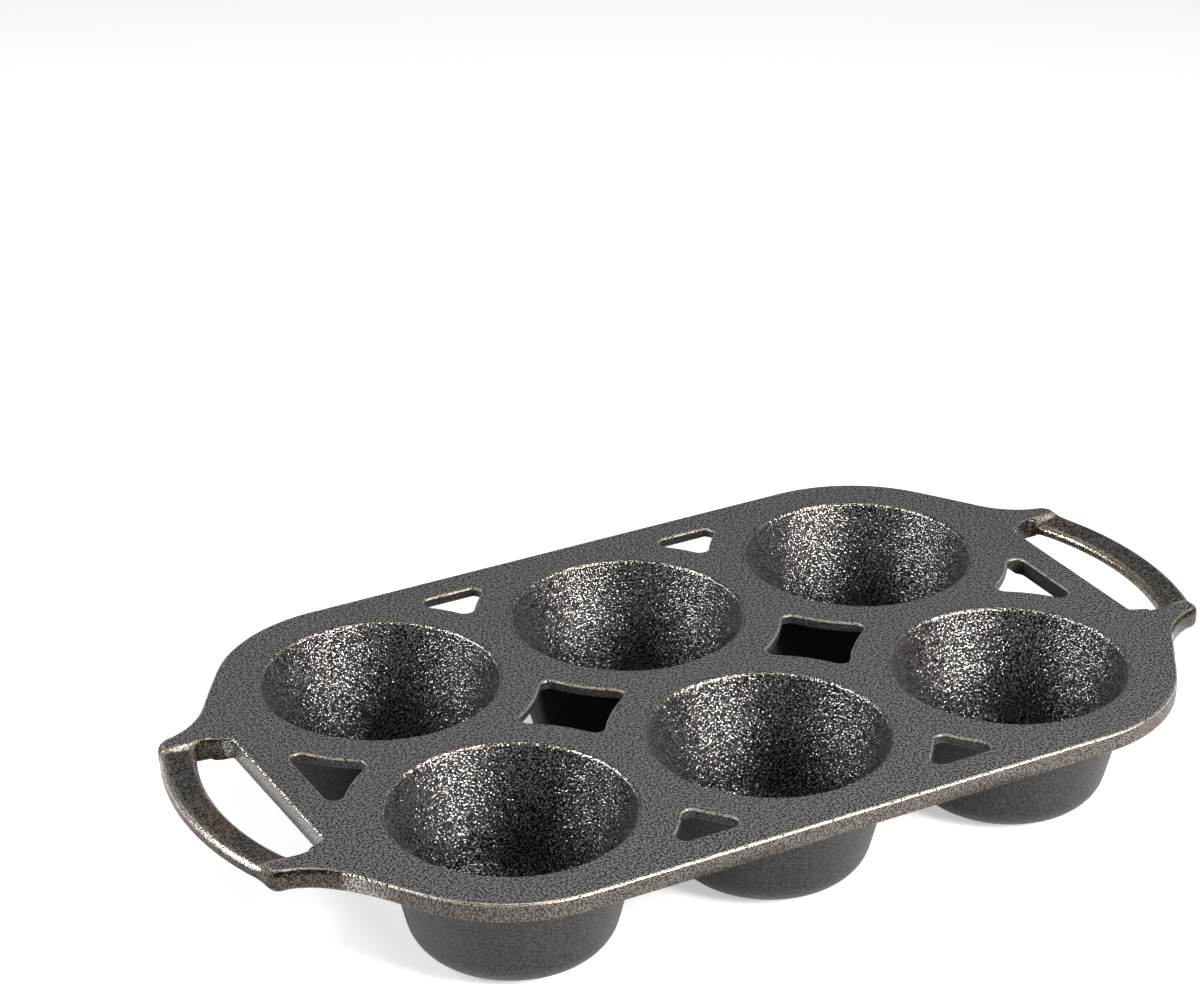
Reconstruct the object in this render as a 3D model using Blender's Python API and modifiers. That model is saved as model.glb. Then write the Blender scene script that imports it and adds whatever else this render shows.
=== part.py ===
"""Six-cup cast iron muffin pan.

The pan is one sand casting. It is built here as the regions that a foundry drawing would name:
a pierced deck, six tapered cups that hang in it, and a bow-shaped handle at each end.
Metres, +Z up. The origin is the centre of the pan's footprint on the table, +X runs along
the length, and the cups stand on Z = 0.
"""
import math

import bmesh
import bpy
from mathutils import Vector

# The cups
COLUMNS = 3
ROWS = 2
MOUTH_RADIUS = 0.0423       # inside radius of a cup, at the deck's top face
CUP_SPACING_X = 0.0154      # least distance between two mouths, along the length
CUP_SPACING_Y = 0.0150      # the same, across the width
CUP_DEPTH = 0.0460          # from the deck's top face to the cup's floor
FLOOR_THICKNESS = 0.0044
WALL_THICKNESS = 0.0035     # measured level, at the deck's top face
DRAFT = math.radians(13.5)  # how far the cup's wall leans out from upright
FLOOR_CORNER = 0.0095       # inside radius where the wall turns into the floor
FOOT_CORNER = 0.0138        # outside radius where the wall turns into the foot
MOUTH_ROUND = 0.0010        # rounding of the cup's lip

# The deck
PLATE_THICKNESS = 0.0036    # the plate between the cups
LIP_DEPTH = 0.0066          # depth of the turned-down border, along the long edges
LIP_WIDTH = 0.0070
END_DEPTH = 0.0076          # depth of the bars beside the finger slots, and of the handles' arms
EDGE_LAND = 0.0164          # from an outer cup's mouth to the edge of the pan
WEB_WIDTH = 0.0142          # ring of plate left round each mouth by the piercings
SIDE_BORDER = 0.0124        # from a side piercing to the long edge
END_BAR = 0.01135           # from an end piercing to the finger slot
END_BAR_LEDGE = 0.0010      # how far the deep end bar reaches inwards past the end piercing's edge
PIERCING_CORNER = 0.0035    # corner radius of the piercings
EDGE_ROUND = 0.0010         # rounding of the deck's outer edges

# The handles
SLOT_OFFSET = 0.00385       # how far the slot's straight side lies past the round end of the deck
SLOT_LENGTH = 0.0742        # the slot's straight side
SLOT_WIDTH = 0.0213         # finger room at the middle of the slot
SLOT_SPLAY = math.radians(24.5)  # how far the slot's ends open towards the bar
SLOT_ROOT = 0.0023          # corner radius at both ends of the slot's straight side
BAR_WIDTH = 0.0114          # at its middle
INNER_BOW = 0.1010          # radius of the bar's inner side, seen from above
OUTER_BOW = 0.1200          # radius of the bar's outer side
BAR_DROP = 0.0018           # the bar's top lies this far under the deck's top face
BAR_THICKNESS = 0.0050
BAR_ROUND = 0.0021          # rounding of the bar's edges
BAR_TENON = 0.0020          # how far the bar runs on inside the arms
ARM_PROUD = 0.0001          # the arm's outer side stands this far outside the bar's
ARM_ROUND = 0.0020          # rounding of the arm's edges
NOSE_RADIUS = 0.0060        # outer corner where the arm turns into the bar
NOSE_INSET = 0.0006         # the nose's centre lies this much nearer the middle than the ridge
FLARE_RADIUS = 0.0310       # hollow curve that leads to the nose
FLARE_GAP = 0.0027          # least distance between that curve's circle and the deck's round end

# Fits and facets
SEAM = 0.0003               # gap that neighbouring regions keep
CUP_SEGMENTS = 48
PLAN_STEP = math.radians(7.0)      # turn between the points of an arc seen from above
BOW_STEP = math.radians(3.0)       # the same on the bar's long curves
SECTION_STEP = math.radians(20.0)  # the same in a cup's section
BEVEL_SEGMENTS = 2
MERGE_DISTANCE = 1e-6
CUT_MARGIN = 0.0030         # how far a cutter reaches past the face it opens

# Places that follow from the sizes above
PITCH_X = 2 * MOUTH_RADIUS + CUP_SPACING_X
PITCH_Y = 2 * MOUTH_RADIUS + CUP_SPACING_Y
LAST_X = PITCH_X * (COLUMNS - 1) / 2
LAST_Y = PITCH_Y * (ROWS - 1) / 2
TOP = CUP_DEPTH + FLOOR_THICKNESS
RING_RADIUS = MOUTH_RADIUS + WEB_WIDTH
END_RADIUS = MOUTH_RADIUS + EDGE_LAND
EDGE_Y = LAST_Y + END_RADIUS
SLOT_X = LAST_X + END_RADIUS + SLOT_OFFSET
SIDE_EDGE = EDGE_Y - SIDE_BORDER
END_EDGE = SLOT_X - END_BAR
INNER_BOW_X = SLOT_X + SLOT_WIDTH - INNER_BOW
OUTER_BOW_X = SLOT_X + SLOT_WIDTH + BAR_WIDTH - OUTER_BOW
DECK_BOTTOM = TOP - END_DEPTH

COLUMN_NAMES = ("left", "middle", "right")
ROW_NAMES = ("front", "back")


def remove_everything():
    for item in list(bpy.data.objects):
        bpy.data.objects.remove(item, do_unlink=True)
    for item in list(bpy.data.collections):
        bpy.data.collections.remove(item)


def new_collection(name):
    group = bpy.data.collections.new(name)
    bpy.context.scene.collection.children.link(group)
    return group


def new_material(name, colour, roughness, metallic):
    material = bpy.data.materials.new(name)
    material.use_nodes = True
    shader = material.node_tree.nodes["Principled BSDF"]
    shader.inputs["Base Color"].default_value = (*colour, 1.0)
    shader.inputs["Roughness"].default_value = roughness
    shader.inputs["Metallic"].default_value = metallic
    return material


def place(name, data, group, location=(0.0, 0.0, 0.0)):
    item = bpy.data.objects.new(name, data)
    item.location = location
    group.objects.link(item)
    return item


def hide_cutter(item):
    item.hide_render = True
    item.display_type = "WIRE"
    return item


def arc(centre, radius, start, end, step=PLAN_STEP):
    """Points from angle start to angle end, both included."""
    steps = max(2, math.ceil(abs(end - start) / step))
    angles = (start + (end - start) * i / steps for i in range(steps + 1))
    return [(centre[0] + radius * math.cos(a), centre[1] + radius * math.sin(a)) for a in angles]


def arc_left(centre, radius, start, end):
    """An arc that turns against the clock."""
    return arc(centre, radius, start, start + (end - start) % math.tau)


def arc_right(centre, radius, start, end):
    """An arc that turns with the clock."""
    return arc(centre, radius, start, start - (start - end) % math.tau)


def angle_to(centre, point):
    return math.atan2(point[1] - centre[1], point[0] - centre[0])


def meeting_point(centre_a, radius_a, centre_b, radius_b):
    """The point at both distances that lies to the left of the way from a to b."""
    a = Vector(centre_a)
    way = Vector(centre_b) - a
    along = (way.length_squared + radius_a ** 2 - radius_b ** 2) / (2 * way.length)
    aside = math.sqrt(radius_a ** 2 - along ** 2)
    ahead = way.normalized()
    return a + ahead * along + Vector((-ahead.y, ahead.x)) * aside


def along_ray(start, direction, centre, radius):
    """Where a ray from inside a circle leaves it."""
    offset = Vector(start) - Vector(centre)
    forward = Vector(direction).normalized()
    middle = offset.dot(forward)
    reach = -middle + math.sqrt(middle ** 2 - offset.length_squared + radius ** 2)
    return Vector(start) + forward * reach


def mirror_y(points):
    return [(x, -y) for x, y in reversed(points)]


def mirror_x(points):
    return [(-x, y) for x, y in reversed(points)]


def all_round(quarter):
    """A closed outline from its +X, +Y quarter."""
    half = quarter + mirror_y(quarter)
    return half + mirror_x(half)


def part_at_x(points, limit):
    """Splits a path that runs towards +X; both parts get the crossing point."""
    for i, (first, second) in enumerate(zip(points, points[1:])):
        if first[0] <= limit < second[0]:
            share = (limit - first[0]) / (second[0] - first[0])
            crossing = (limit, first[1] + share * (second[1] - first[1]))
            return points[:i + 1] + [crossing], [crossing] + points[i + 1:]
    return points, []


def slot_corner():
    """Where the slot's +Y end wall meets the bar's inner side."""
    start = Vector((SLOT_X, SLOT_LENGTH / 2))
    direction = Vector((math.cos(SLOT_SPLAY), math.sin(SLOT_SPLAY)))
    return along_ray(start, direction, (INNER_BOW_X, 0.0), INNER_BOW)


def nose_centre():
    height = slot_corner().y - NOSE_INSET
    reach = OUTER_BOW - NOSE_RADIUS
    return Vector((OUTER_BOW_X + math.sqrt(reach ** 2 - height ** 2), height))


def pan_side():
    """The pan's edge from its outermost cup round the nose to the ridge, in the +X, +Y quarter."""
    corner = Vector((LAST_X, LAST_Y))
    nose = nose_centre()
    bow = (OUTER_BOW_X, 0.0)
    reach = END_RADIUS + FLARE_GAP + FLARE_RADIUS
    flare = meeting_point(corner, reach, nose, NOSE_RADIUS + FLARE_RADIUS)
    leave = angle_to(corner, flare) + math.acos((END_RADIUS + FLARE_RADIUS) / reach)
    turn = angle_to(flare, nose)
    ridge = math.asin(slot_corner().y / OUTER_BOW)
    points = arc(corner, END_RADIUS, math.pi / 2, leave)
    points += arc(flare, FLARE_RADIUS, leave - math.pi, turn)
    points += arc(nose, NOSE_RADIUS + ARM_PROUD, turn + math.pi, angle_to(bow, nose))[1:]
    return points + arc(bow, OUTER_BOW + ARM_PROUD, angle_to(bow, nose), ridge)[1:]


def deck_outline():
    """The deck's plan, cut off square at the finger slots."""
    return all_round(part_at_x(pan_side(), SLOT_X)[0])


def recess_outline():
    """What is left open under the plate, inside the turned-down border and the end bars."""
    quarter = arc((LAST_X, LAST_Y), END_RADIUS - LIP_WIDTH, math.pi / 2, 0.0)
    return all_round(part_at_x(quarter, END_EDGE - END_BAR_LEDGE)[0])


def arm_outline():
    """The +X handle's +Y arm: flare, nose, ridge and the slot's end wall."""
    seam_x = SLOT_X + SEAM
    outside = part_at_x(pan_side(), seam_x)[1]
    rise = (1 - math.sin(SLOT_SPLAY)) / math.cos(SLOT_SPLAY)
    root = (SLOT_X + SLOT_ROOT, SLOT_LENGTH / 2 - SLOT_ROOT * rise)
    wall = math.pi / 2 + SLOT_SPLAY
    seam_angle = math.acos((seam_x - root[0]) / SLOT_ROOT)
    return outside + [tuple(slot_corner())] + arc(root, SLOT_ROOT, wall, seam_angle)


def bar_outline():
    """The +X handle's bar, run on a little way inside both arms."""
    end = slot_corner().y + BAR_TENON
    outer = math.asin(end / OUTER_BOW)
    inner = math.asin(end / INNER_BOW)
    return (arc((OUTER_BOW_X, 0.0), OUTER_BOW, outer, -outer, BOW_STEP)
            + arc((INNER_BOW_X, 0.0), INNER_BOW, -inner, inner, BOW_STEP))


def piercing_outline(cups, normal=None, distance=0.0):
    """A hole between the rings of some cups, given in order against the clock.

    A hole that also has a straight edge gets that edge's outward normal, and its distance from
    the middle of the pan. The edge follows the last cup.
    """
    reach = RING_RADIUS + PIERCING_CORNER
    walls = [(Vector(cup), Vector(cup)) for cup in cups]
    if normal:
        # A mirror image of its neighbour stands in for the edge where a corner is looked for.
        out = Vector(normal)
        images = [c + 2 * (distance - PIERCING_CORNER - c.dot(out)) * out
                  for c in (walls[-1][0], walls[0][0])]
        walls.append((images[0], images[1]))
    corners = [meeting_point(this[1], reach, following[0], reach)
               for this, following in zip(walls, walls[1:] + walls[:1])]
    outline = []
    for i, corner in enumerate(corners):
        following = (i + 1) % len(walls)
        start = touch_angle(corner, i, walls, cups, normal)
        end = touch_angle(corner, following, walls, cups, normal)
        outline += arc_left(corner, PIERCING_CORNER, start, end)
        if following < len(cups):
            cup = cups[following]
            onward = corners[following]
            outline += arc_right(cup, RING_RADIUS, angle_to(cup, corner), angle_to(cup, onward))[1:-1]
    return outline


def touch_angle(corner, wall, walls, cups, normal):
    """Direction from a corner's centre to the wall that its rounding touches."""
    if wall < len(cups):
        return angle_to(corner, walls[wall][0])
    return math.atan2(normal[1], normal[0])


def piercings():
    """Name and outline of every hole in the deck."""
    columns = [i * PITCH_X - LAST_X for i in range(COLUMNS)]
    rows = [j * PITCH_Y - LAST_Y for j in range(ROWS)]
    for number, (left, right) in enumerate(zip(columns, columns[1:]), 1):
        for low, high in zip(rows, rows[1:]):
            yield f"middle_{number}", piercing_outline([(right, high), (left, high),
                                                        (left, low), (right, low)])
        yield f"back_{number}", piercing_outline([(left, rows[-1]), (right, rows[-1])],
                                                 (0.0, 1.0), SIDE_EDGE)
        yield f"front_{number}", piercing_outline([(right, rows[0]), (left, rows[0])],
                                                  (0.0, -1.0), SIDE_EDGE)
    for low, high in zip(rows, rows[1:]):
        yield "right", piercing_outline([(columns[-1], high), (columns[-1], low)],
                                        (1.0, 0.0), END_EDGE)
        yield "left", piercing_outline([(columns[0], low), (columns[0], high)],
                                       (-1.0, 0.0), END_EDGE)


def slab(name, points, low, high, group):
    """A flat outline filled and given its thickness, as a mesh object."""
    curve = bpy.data.curves.new(name, "CURVE")
    curve.dimensions = "2D"
    curve.fill_mode = "BOTH"
    curve.extrude = (high - low) / 2
    spline = curve.splines.new("POLY")
    spline.points.add(len(points) - 1)
    for knot, (x, y) in zip(spline.points, points):
        knot.co = (x, y, 0.0, 1.0)
    spline.use_cyclic_u = True
    guide = place(name + "_outline", curve, group, (0.0, 0.0, (low + high) / 2))
    bpy.context.view_layer.update()
    graph = bpy.context.evaluated_depsgraph_get()
    mesh = bpy.data.meshes.new_from_object(guide.evaluated_get(graph))
    matrix = guide.matrix_world.copy()
    bpy.data.objects.remove(guide, do_unlink=True)
    weld(mesh)
    item = place(name, mesh, group)
    item.matrix_world = matrix
    return item


def weld(mesh):
    """Joins loose caps to their sides and makes every face point outwards."""
    shape = bmesh.new()
    shape.from_mesh(mesh)
    bmesh.ops.remove_doubles(shape, verts=shape.verts, dist=MERGE_DISTANCE)
    bmesh.ops.recalc_face_normals(shape, faces=shape.faces)
    shape.to_mesh(mesh)
    shape.free()


def box(name, low, high, group):
    low = Vector(low)
    high = Vector(high)
    shape = bmesh.new()
    bmesh.ops.create_cube(shape, size=1.0)
    bmesh.ops.scale(shape, vec=high - low, verts=shape.verts)
    mesh = bpy.data.meshes.new(name)
    shape.to_mesh(mesh)
    shape.free()
    return place(name, mesh, group, (low + high) / 2)


def frustum(name, low_radius, high_radius, low, high, centre, group):
    """An upright cone with its point cut off, facets in step with a cup's."""
    shape = bmesh.new()
    bmesh.ops.create_cone(shape, cap_ends=True, segments=CUP_SEGMENTS,
                          radius1=low_radius, radius2=high_radius, depth=high - low)
    mesh = bpy.data.meshes.new(name)
    shape.to_mesh(mesh)
    shape.free()
    return place(name, mesh, group, (centre[0], centre[1], (low + high) / 2))


def boolean(item, other, operation="DIFFERENCE"):
    join = item.modifiers.new(other.name, "BOOLEAN")
    join.operation = operation
    join.solver = "EXACT"
    join.object = hide_cutter(other)


def bevel(item, width, angle):
    rounding = item.modifiers.new("rounding", "BEVEL")
    rounding.width = width
    rounding.segments = BEVEL_SEGMENTS
    rounding.limit_method = "ANGLE"
    rounding.angle_limit = angle


def cup_places():
    """Name and centre of every cup."""
    for row in range(ROWS):
        for column in range(COLUMNS):
            name = f"cup_{ROW_NAMES[row]}_{COLUMN_NAMES[column]}"
            yield name, (column * PITCH_X - LAST_X, row * PITCH_Y - LAST_Y)


def corner_arc(wall_x, floor_z, radius):
    """Rounds the corner between a leaning wall and a level floor.

    wall_x is where the wall would meet the floor's height. The points run from the floor
    up to the wall.
    """
    centre = (wall_x - radius * (1 / math.cos(DRAFT) - math.tan(DRAFT)), floor_z + radius)
    return arc(centre, radius, -math.pi / 2, -DRAFT, SECTION_STEP)


def cup_profile():
    """Half section of a cup, from the middle of its floor over the lip to the middle of its foot."""
    lean = math.tan(DRAFT)
    lip = (MOUTH_RADIUS - MOUTH_ROUND * lean + MOUTH_ROUND / math.cos(DRAFT), TOP - MOUTH_ROUND)
    inside = [(0.0, FLOOR_THICKNESS)]
    inside += corner_arc(MOUTH_RADIUS - CUP_DEPTH * lean, FLOOR_THICKNESS, FLOOR_CORNER)
    inside += arc(lip, MOUTH_ROUND, math.pi - DRAFT, math.pi / 2, SECTION_STEP)
    outside = [(MOUTH_RADIUS + WALL_THICKNESS, TOP)]
    outside += reversed(corner_arc(MOUTH_RADIUS + WALL_THICKNESS - TOP * lean, 0.0, FOOT_CORNER))
    outside += [(0.0, 0.0)]
    return inside + outside


def make_cup_mesh(group):
    """One turned cup, shared by all six."""
    points = cup_profile()
    mesh = bpy.data.meshes.new("cup_section")
    shape = bmesh.new()
    knots = [shape.verts.new((x, 0.0, z)) for x, z in points]
    for first, second in zip(knots, knots[1:]):
        shape.edges.new((first, second))
    shape.to_mesh(mesh)
    shape.free()
    section = place("cup_section", mesh, group)
    turn = section.modifiers.new("turn", "SCREW")
    turn.axis = "Z"
    turn.angle = 2 * math.pi
    turn.steps = CUP_SEGMENTS
    turn.render_steps = CUP_SEGMENTS
    turn.use_merge_vertices = True
    turn.merge_threshold = MERGE_DISTANCE
    bpy.context.view_layer.update()
    graph = bpy.context.evaluated_depsgraph_get()
    turned = bpy.data.meshes.new_from_object(section.evaluated_get(graph))
    bpy.data.objects.remove(section, do_unlink=True)
    turned.name = "cup"
    turned.shade_smooth()
    turned.set_sharp_from_angle(angle=math.radians(35.0))
    return turned


def make_cups(parts, iron):
    mesh = make_cup_mesh(parts)
    mesh.materials.append(iron)
    for name, (x, y) in cup_places():
        place(name, mesh, parts, (x, y, 0.0))


def cut_bores(deck, cutters):
    """Tapered seats for the cups, a seam wider than the cups all round."""
    lean = math.tan(DRAFT)
    outside = MOUTH_RADIUS + WALL_THICKNESS + SEAM / math.cos(DRAFT)
    low = DECK_BOTTOM - CUT_MARGIN
    high = TOP + CUT_MARGIN
    for name, centre in cup_places():
        bore = frustum("bore_" + name, outside - (TOP - low) * lean, outside + (high - TOP) * lean,
                       low, high, centre, cutters)
        boolean(deck, bore)


def make_deck(parts, cutters, iron):
    """A plate with a turned-down border; its ends are deeper than its long sides."""
    deck = slab("deck", deck_outline(), DECK_BOTTOM, TOP, parts)
    below = DECK_BOTTOM - CUT_MARGIN
    side_x = LAST_X + MOUTH_RADIUS
    side_y = EDGE_Y + CUT_MARGIN
    sides = box("long_sides", (-side_x, -side_y, below), (side_x, side_y, TOP - LIP_DEPTH), cutters)
    boolean(deck, sides)
    bevel(deck, EDGE_ROUND, math.radians(60.0))
    boolean(deck, slab("recess", recess_outline(), below, TOP - PLATE_THICKNESS, cutters))
    for name, points in piercings():
        boolean(deck, slab("piercing_" + name, points, below, TOP + CUT_MARGIN, cutters))
    cut_bores(deck, cutters)
    deck.data.materials.append(iron)


def make_handle(name, turn, parts, cutters, iron):
    """A bowed bar joined to two arms; turn is 0 at the +X end and half a turn at the other."""
    bar_top = TOP - BAR_DROP
    handle = slab(name, bar_outline(), bar_top - BAR_THICKNESS, bar_top, parts)
    bevel(handle, BAR_ROUND, math.radians(50.0))
    handle.rotation_euler.z = turn
    for side, points in (("back", arm_outline()), ("front", mirror_y(arm_outline()))):
        arm = slab(f"arm_{name}_{side}", points, DECK_BOTTOM, TOP, cutters)
        bevel(arm, ARM_ROUND, math.radians(50.0))
        arm.rotation_euler.z = turn
        boolean(handle, arm, "UNION")
    handle.data.materials.append(iron)


def main():
    remove_everything()
    parts = new_collection("muffin_pan")
    cutters = new_collection("cutters")
    make_deck(parts, cutters, new_material("deck_iron", (0.072, 0.071, 0.072), 0.62, 0.35))
    make_cups(parts, new_material("cup_iron", (0.045, 0.043, 0.044), 0.48, 0.45))
    handle_iron = new_material("handle_iron", (0.060, 0.056, 0.052), 0.52, 0.40)
    make_handle("handle_right", 0.0, parts, cutters, handle_iron)
    make_handle("handle_left", math.pi, parts, cutters, handle_iron)


main()
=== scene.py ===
# %% [markdown]
# # A cast iron muffin pan
# The real pan is poured in one piece: a flat deck with six deep cups hanging in it and a bowed
# handle at each end. The frame gives its size and place. This lesson builds the fine skin of the
# casting over it, with soft edges, rounded cups and the grain that sand leaves in iron.

# %% The frame
import math

import bmesh
import bpy
from mathutils import Matrix, Vector


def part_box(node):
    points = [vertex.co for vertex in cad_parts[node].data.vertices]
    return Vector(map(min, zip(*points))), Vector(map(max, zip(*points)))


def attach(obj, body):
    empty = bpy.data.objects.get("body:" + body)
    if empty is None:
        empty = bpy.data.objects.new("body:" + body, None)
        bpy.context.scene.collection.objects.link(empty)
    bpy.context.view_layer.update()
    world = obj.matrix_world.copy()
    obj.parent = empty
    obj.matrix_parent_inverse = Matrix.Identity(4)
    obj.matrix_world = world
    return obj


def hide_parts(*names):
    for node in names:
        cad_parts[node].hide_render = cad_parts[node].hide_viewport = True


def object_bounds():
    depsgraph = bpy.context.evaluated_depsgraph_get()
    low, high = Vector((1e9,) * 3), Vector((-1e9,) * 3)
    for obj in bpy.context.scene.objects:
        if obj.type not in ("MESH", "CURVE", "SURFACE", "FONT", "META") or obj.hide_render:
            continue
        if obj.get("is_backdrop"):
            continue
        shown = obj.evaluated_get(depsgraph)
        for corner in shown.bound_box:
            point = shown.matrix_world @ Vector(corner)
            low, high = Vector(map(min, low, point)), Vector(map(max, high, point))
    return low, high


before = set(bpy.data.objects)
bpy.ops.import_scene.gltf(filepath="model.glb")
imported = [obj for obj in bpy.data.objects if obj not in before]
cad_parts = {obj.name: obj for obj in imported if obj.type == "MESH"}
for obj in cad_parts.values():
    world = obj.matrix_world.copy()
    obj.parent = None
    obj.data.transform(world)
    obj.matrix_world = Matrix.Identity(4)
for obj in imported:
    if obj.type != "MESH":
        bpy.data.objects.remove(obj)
cad_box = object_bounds()
CUPS = sorted(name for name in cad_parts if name.startswith("cup_"))
print("frame:", len(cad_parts), "nodes, of which", len(CUPS), "are cups")

# %% [markdown]
# ## The main sizes
# Every size is a real one, in metres. The places of the cups and the height of the deck are
# measured on the frame, so that the skin fits it. The rest are what a pattern maker would mark on
# the drawing of the casting, and each is given where it is first needed.

# %% The main sizes
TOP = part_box("deck")[1].z
PLACES = {cup: (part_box(cup)[0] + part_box(cup)[1]).to_2d() / 2 for cup in CUPS}
LAST_X = max(place.x for place in PLACES.values())
LAST_Y = max(place.y for place in PLACES.values())
ROUND_END = 0.0587          # radius of the deck's corners
print("deck top at", round(TOP, 4), "and outer cups at", round(LAST_X, 4), round(LAST_Y, 4))

# %% [markdown]
# ## Outlines
# Seen from above, every edge of the casting is made of arcs and straight runs that touch, as a
# pattern maker draws them. Curve objects could be used, but their bevel has one width all along. So
# an outline here is a list of points, each with the direction that points out of the metal. With
# that direction a rounded edge can be any width, and can change along the way.

# %% Arcs and straight runs
SPACING = 0.0016            # between the points of an outline
TURN = math.radians(9.0)    # the most that an outline turns from point to point


def ray(angle):
    """The direction at an angle, seen from above."""
    return Vector((math.cos(angle), math.sin(angle)))


def angle_of(way):
    return math.atan2(way[1], way[0])


def arc(centre, radius, start, end, hollow=False):
    """An arc from angle start to angle end; a hollow one has its metal on the outside."""
    sweep = abs(end - start)
    count = max(2, math.ceil(sweep / TURN), math.ceil(sweep * radius / SPACING))
    side = -1 if hollow else 1
    angles = [start + (end - start) * i / count for i in range(count + 1)]
    return [(Vector(centre) + radius * ray(angle), side * ray(angle)) for angle in angles]


def straight(first, last, out):
    """A straight run between two points, without the points themselves."""
    first, last = Vector(first), Vector(last)
    count = max(1, math.ceil((last - first).length / SPACING))
    return [(first.lerp(last, i / count), Vector(out)) for i in range(1, count)]


print("a corner of the deck takes", len(arc((0, 0), ROUND_END, 0.0, math.pi / 2)), "points")

# %% [markdown]
# ## The finger slots
# Inside each handle is a slot for the fingers: straight beside the deck, bowed along the bar, with
# end walls that open towards the bar. A boolean cut could open it. Drawn as an outline, its wall
# can be rounder at the bar, where the fingers pull. Half is drawn and the other half mirrored.

# %% The finger slots
SLOT_OFFSET = 0.00385       # from the deck's round end to the slot's straight side
SLOT_X = LAST_X + ROUND_END + SLOT_OFFSET
SLOT_HALF = 0.0368          # half the length of the straight side
SLOT_WIDTH = 0.0204         # room for the fingers at the middle
SLOT_SPLAY = math.radians(24.5)  # how far the slot's ends open towards the bar
SLOT_ROOT = 0.0013          # corner radius at the ends of the straight side
SLOT_CORNER = 0.0016        # corner radius at the ends of the bow
INNER_BOW = 0.1010          # radius of the bar's inner side
INNER_X = SLOT_X + SLOT_WIDTH - INNER_BOW  # where that radius has its centre


def flip_y(outline):
    return [(Vector((p.x, -p.y)), Vector((n.x, -n.y))) for p, n in reversed(outline)]


def slot_outline():
    """The finger slot at the +X end: straight side, root, end wall, corner and bow."""
    out = Vector((math.sin(SLOT_SPLAY), -math.cos(SLOT_SPLAY)))
    along = ray(SLOT_SPLAY)
    start = Vector((SLOT_X, SLOT_HALF))
    inwards = SLOT_ROOT * (1 - math.sin(SLOT_SPLAY)) / math.cos(SLOT_SPLAY)
    root = start + Vector((SLOT_ROOT, -inwards))
    middle = Vector((INNER_X, 0))
    offset = start + out * SLOT_CORNER - middle
    inner = INNER_BOW - SLOT_CORNER
    ahead = offset.dot(along)
    reach = -ahead + math.sqrt(ahead ** 2 - offset.length_squared + inner ** 2)
    corner = start + out * SLOT_CORNER + along * reach
    end_wall = angle_of(-out)
    turn = angle_of(corner - middle)
    half = arc(root, SLOT_ROOT, math.pi, end_wall, hollow=True)
    half += straight(half[-1][0], corner - out * SLOT_CORNER, out)
    half += arc(corner, SLOT_CORNER, end_wall, turn, hollow=True)
    half += arc(middle, INNER_BOW, turn, 0.0, hollow=True)[1:]
    first = half[0][0]
    return half + flip_y(half)[1:] + straight((SLOT_X, -first.y), first, (1, 0))


right_slot = slot_outline()
print("a finger slot's outline has", len(right_slot), "points")

# %% [markdown]
# ## The edge of the pan
# From the middle of a long side the edge runs straight, turns round the outer cup, and leaves it on
# a tangent. A hollow curve leads to the nose, where the arm turns into the bowed bar. Sand can't
# hold a sharp corner, so every turn is an arc. One quarter is drawn, and mirrored for the rest.

# %% The outer edge
CORNER_OUT = 0.0008         # how far a corner's centre lies beyond the outer cup's
BAR_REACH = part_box("handle_right")[1].x
OUTER_BOW = 0.1200          # radius of the bar's outer side
OUTER_X = BAR_REACH - OUTER_BOW
NOSE = 0.0060               # radius at which the nose would touch the bow from inside
NOSE_PROUD = 0.0004         # how far it stands out beyond the bow
NOSE_Y = 0.0433             # how far the nose's centre lies from the middle of the bar
NECK = 0.0100               # radius of the hollow between the nose and the bow
FLARE = 0.0310              # radius of the hollow curve that leads to the nose
FLARE_GAP = 0.0033          # least distance between that curve's circle and the deck's corner


def meeting_point(centre_a, radius_a, centre_b, radius_b):
    """The point at both distances that lies to the left of the way from a to b."""
    way = Vector(centre_b) - Vector(centre_a)
    along = (way.length_squared + radius_a ** 2 - radius_b ** 2) / (2 * way.length)
    aside = math.sqrt(radius_a ** 2 - along ** 2)
    ahead = way.normalized()
    return Vector(centre_a) + ahead * along + Vector((-ahead.y, ahead.x)) * aside


def flip_x(outline):
    return [(Vector((-p.x, p.y)), Vector((-n.x, n.y))) for p, n in reversed(outline)]


def edge_outline():
    """The whole outer edge, from its +X, +Y quarter."""
    corner = Vector((LAST_X + CORNER_OUT, LAST_Y))
    bow = Vector((OUTER_X, 0))
    nose = bow + Vector((math.sqrt((OUTER_BOW - NOSE) ** 2 - NOSE_Y ** 2), NOSE_Y))
    tip = NOSE + NOSE_PROUD
    reach = ROUND_END + FLARE_GAP + FLARE
    flare = meeting_point(corner, reach, nose, tip + FLARE)
    neck = meeting_point(nose, tip + NECK, bow, OUTER_BOW + NECK)
    leave = angle_of(flare - corner) + math.acos((ROUND_END + FLARE) / reach)
    turn = angle_of(nose - flare)
    middle = (Vector((0, LAST_Y + ROUND_END)), Vector((0, 1)))
    quarter = [middle] + straight(middle[0], (corner.x, LAST_Y + ROUND_END), (0, 1))
    quarter += arc(corner, ROUND_END, math.pi / 2, leave)
    hollow = arc(flare, FLARE, leave - math.pi, turn, hollow=True)
    quarter += straight(quarter[-1][0], hollow[0][0], ray(leave)) + hollow
    quarter += arc(nose, tip, turn + math.pi, angle_of(neck - nose))[1:]
    start = angle_of(nose - neck)
    turn = (angle_of(bow - neck) - start) % math.tau
    quarter += arc(neck, NECK, start, start + turn, hollow=True)[1:]
    quarter += arc(bow, OUTER_BOW, angle_of(neck - bow), 0.0)[1:]
    half = quarter + flip_y(quarter)[1:]
    return half + flip_x(half)[1:-1]


outer_edge = edge_outline()
left_slot = flip_x(right_slot)
print("the outer edge has", len(outer_edge), "points")

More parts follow.
